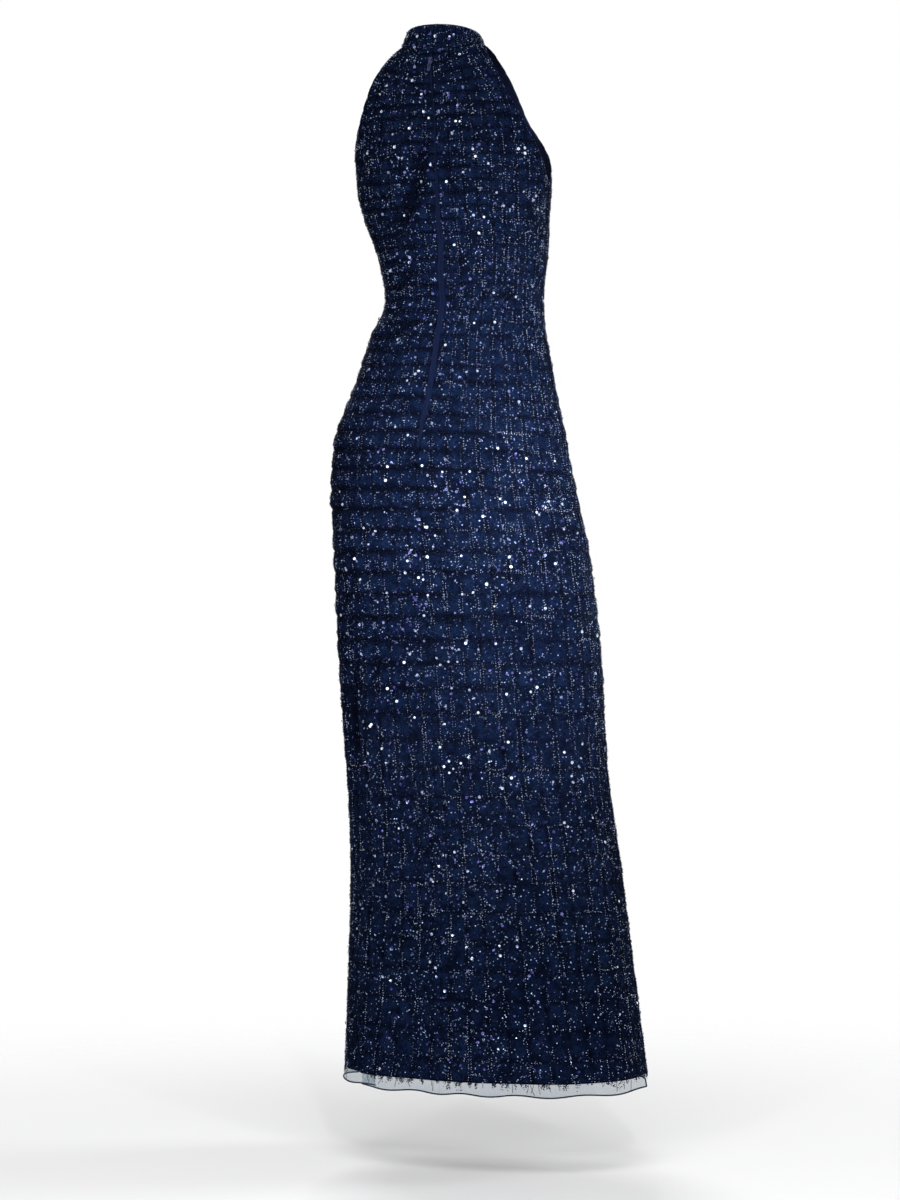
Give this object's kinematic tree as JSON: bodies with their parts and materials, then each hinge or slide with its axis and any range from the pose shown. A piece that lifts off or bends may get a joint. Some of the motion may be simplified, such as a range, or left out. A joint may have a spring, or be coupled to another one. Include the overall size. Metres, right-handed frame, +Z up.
{
  "type": "evening gown",
  "caption": "Sleeveless halter column evening gown in worn shape, beaded grid cloth, high neckband, back zip, side slit and sheer mesh hem.",
  "frame": {"origin": "middle of the neck ring, at the height of the neckband's seam", "axes": "+Z up along the wearer, +X towards the wearer's left, -Y the way the wearer faces"},
  "size_m": [0.4707, 0.3096, 1.5367],
  "materials": {
    "beaded_cloth": "navy net closely sewn with navy beads and sequins in a grid, glittering",
    "plain_cloth": "plain navy net over lining, matte",
    "sheer_mesh": "sheer navy net with an overlocked edge",
    "zip_metal": "navy lacquered metal, satin"
  },
  "bodies": {
    "gown": {"front": "beaded_cloth", "back_left": "beaded_cloth", "back_right": "beaded_cloth", "neckband": "beaded_cloth", "zip_strip_left": "plain_cloth", "zip_strip_right": "plain_cloth", "hem_mesh_front": "sheer_mesh", "hem_mesh_back_left": "sheer_mesh", "hem_mesh_back_right": "sheer_mesh", "zip_slider": "zip_metal"},
    "pull_tab": {"zip_pull": "zip_metal"}
  },
  "joints": [
    {"name": "pull_swing", "type": "hinge", "parent": "gown", "child": "pull_tab", "pos_m": [-0.00371, 0.06672, -0.02229], "axis": [1, 0, 0], "range_deg": [0, 150]}
  ]
}
